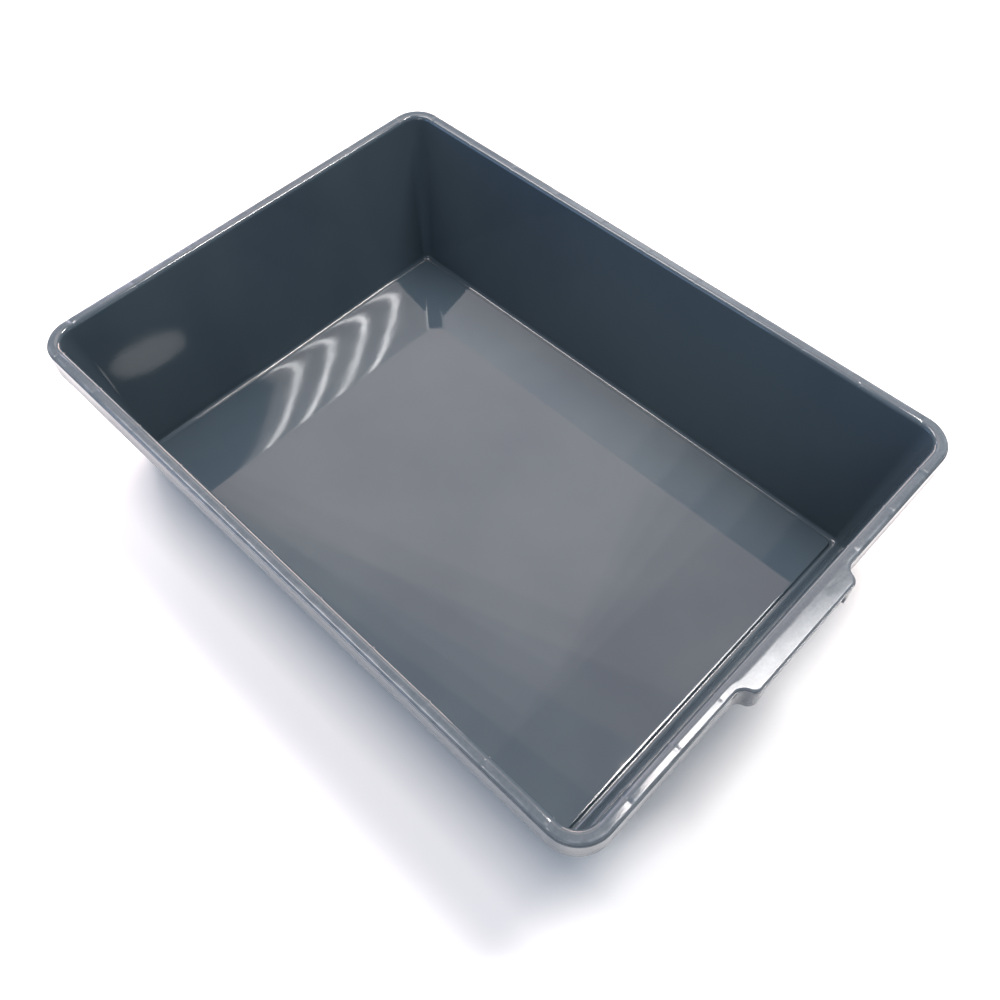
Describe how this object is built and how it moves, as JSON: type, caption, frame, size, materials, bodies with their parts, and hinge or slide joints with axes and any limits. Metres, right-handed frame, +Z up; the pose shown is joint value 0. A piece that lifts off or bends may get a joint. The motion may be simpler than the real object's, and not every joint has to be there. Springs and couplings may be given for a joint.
{
  "type": "storage tray",
  "caption": "Deep rectangular moulded tray with leaning walls, a flat rim with a hanging skirt, a raised floor panel and a grip tab on its front edge.",
  "frame": {"origin": "on the surface that the tray stands on, under the middle of its overall width and length (grip tab included)", "axes": "+X across the width, +Y along the length away from the grip tab, +Z up"},
  "size_m": [0.297, 0.4196, 0.107],
  "materials": {
    "tray": "glossy inside, satin on the rim"
  },
  "bodies": {
    "root": {"tray": "tray"}
  },
  "joints": []
}
